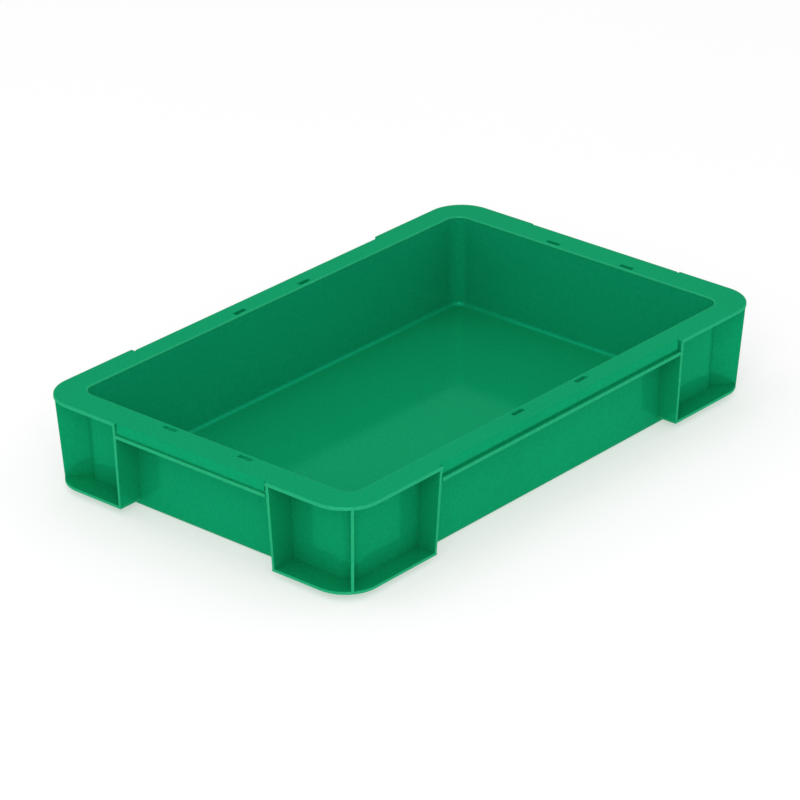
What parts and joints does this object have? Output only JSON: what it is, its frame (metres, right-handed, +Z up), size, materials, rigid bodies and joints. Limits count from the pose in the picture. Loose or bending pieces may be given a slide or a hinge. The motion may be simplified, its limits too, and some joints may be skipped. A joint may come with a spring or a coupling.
{
  "type": "stacking plastic crate",
  "caption": "Shallow rectangular stacking crate of green plastic, with a flat wide rim, lid slots, hanging aprons and raised feet at ribbed corner posts.",
  "frame": {"origin": "middle of the underside of the base", "axes": "+X along the long sides, +Y along the short sides to the rear, +Z up out of the open top"},
  "size_m": [0.5, 0.318, 0.081],
  "materials": {
    "crate_plastic": "semi-gloss moulded polypropylene, green"
  },
  "bodies": {
    "root": {"base_panel": "crate_plastic", "wall_front": "crate_plastic", "wall_rear": "crate_plastic", "wall_left": "crate_plastic", "wall_right": "crate_plastic", "rim_front": "crate_plastic", "rim_rear": "crate_plastic", "rim_left": "crate_plastic", "rim_right": "crate_plastic", "apron_front": "crate_plastic", "apron_rear": "crate_plastic", "apron_left": "crate_plastic", "apron_right": "crate_plastic", "corner_wall_front_left": "crate_plastic", "corner_wall_front_right": "crate_plastic", "corner_wall_rear_left": "crate_plastic", "corner_wall_rear_right": "crate_plastic", "rim_corner_front_left": "crate_plastic", "rim_corner_front_right": "crate_plastic", "rim_corner_rear_left": "crate_plastic", "rim_corner_rear_right": "crate_plastic", "foot_front_left": "crate_plastic", "foot_front_right": "crate_plastic", "foot_rear_left": "crate_plastic", "foot_rear_right": "crate_plastic", "corner_rib_front_left": "crate_plastic", "corner_rib_front_right": "crate_plastic", "corner_rib_rear_left": "crate_plastic", "corner_rib_rear_right": "crate_plastic", "end_rib_front_left": "crate_plastic", "end_rib_front_right": "crate_plastic", "end_rib_rear_left": "crate_plastic", "end_rib_rear_right": "crate_plastic", "end_rib_left_front": "crate_plastic", "end_rib_right_front": "crate_plastic", "end_rib_left_rear": "crate_plastic", "end_rib_right_rear": "crate_plastic"}
  },
  "joints": []
}
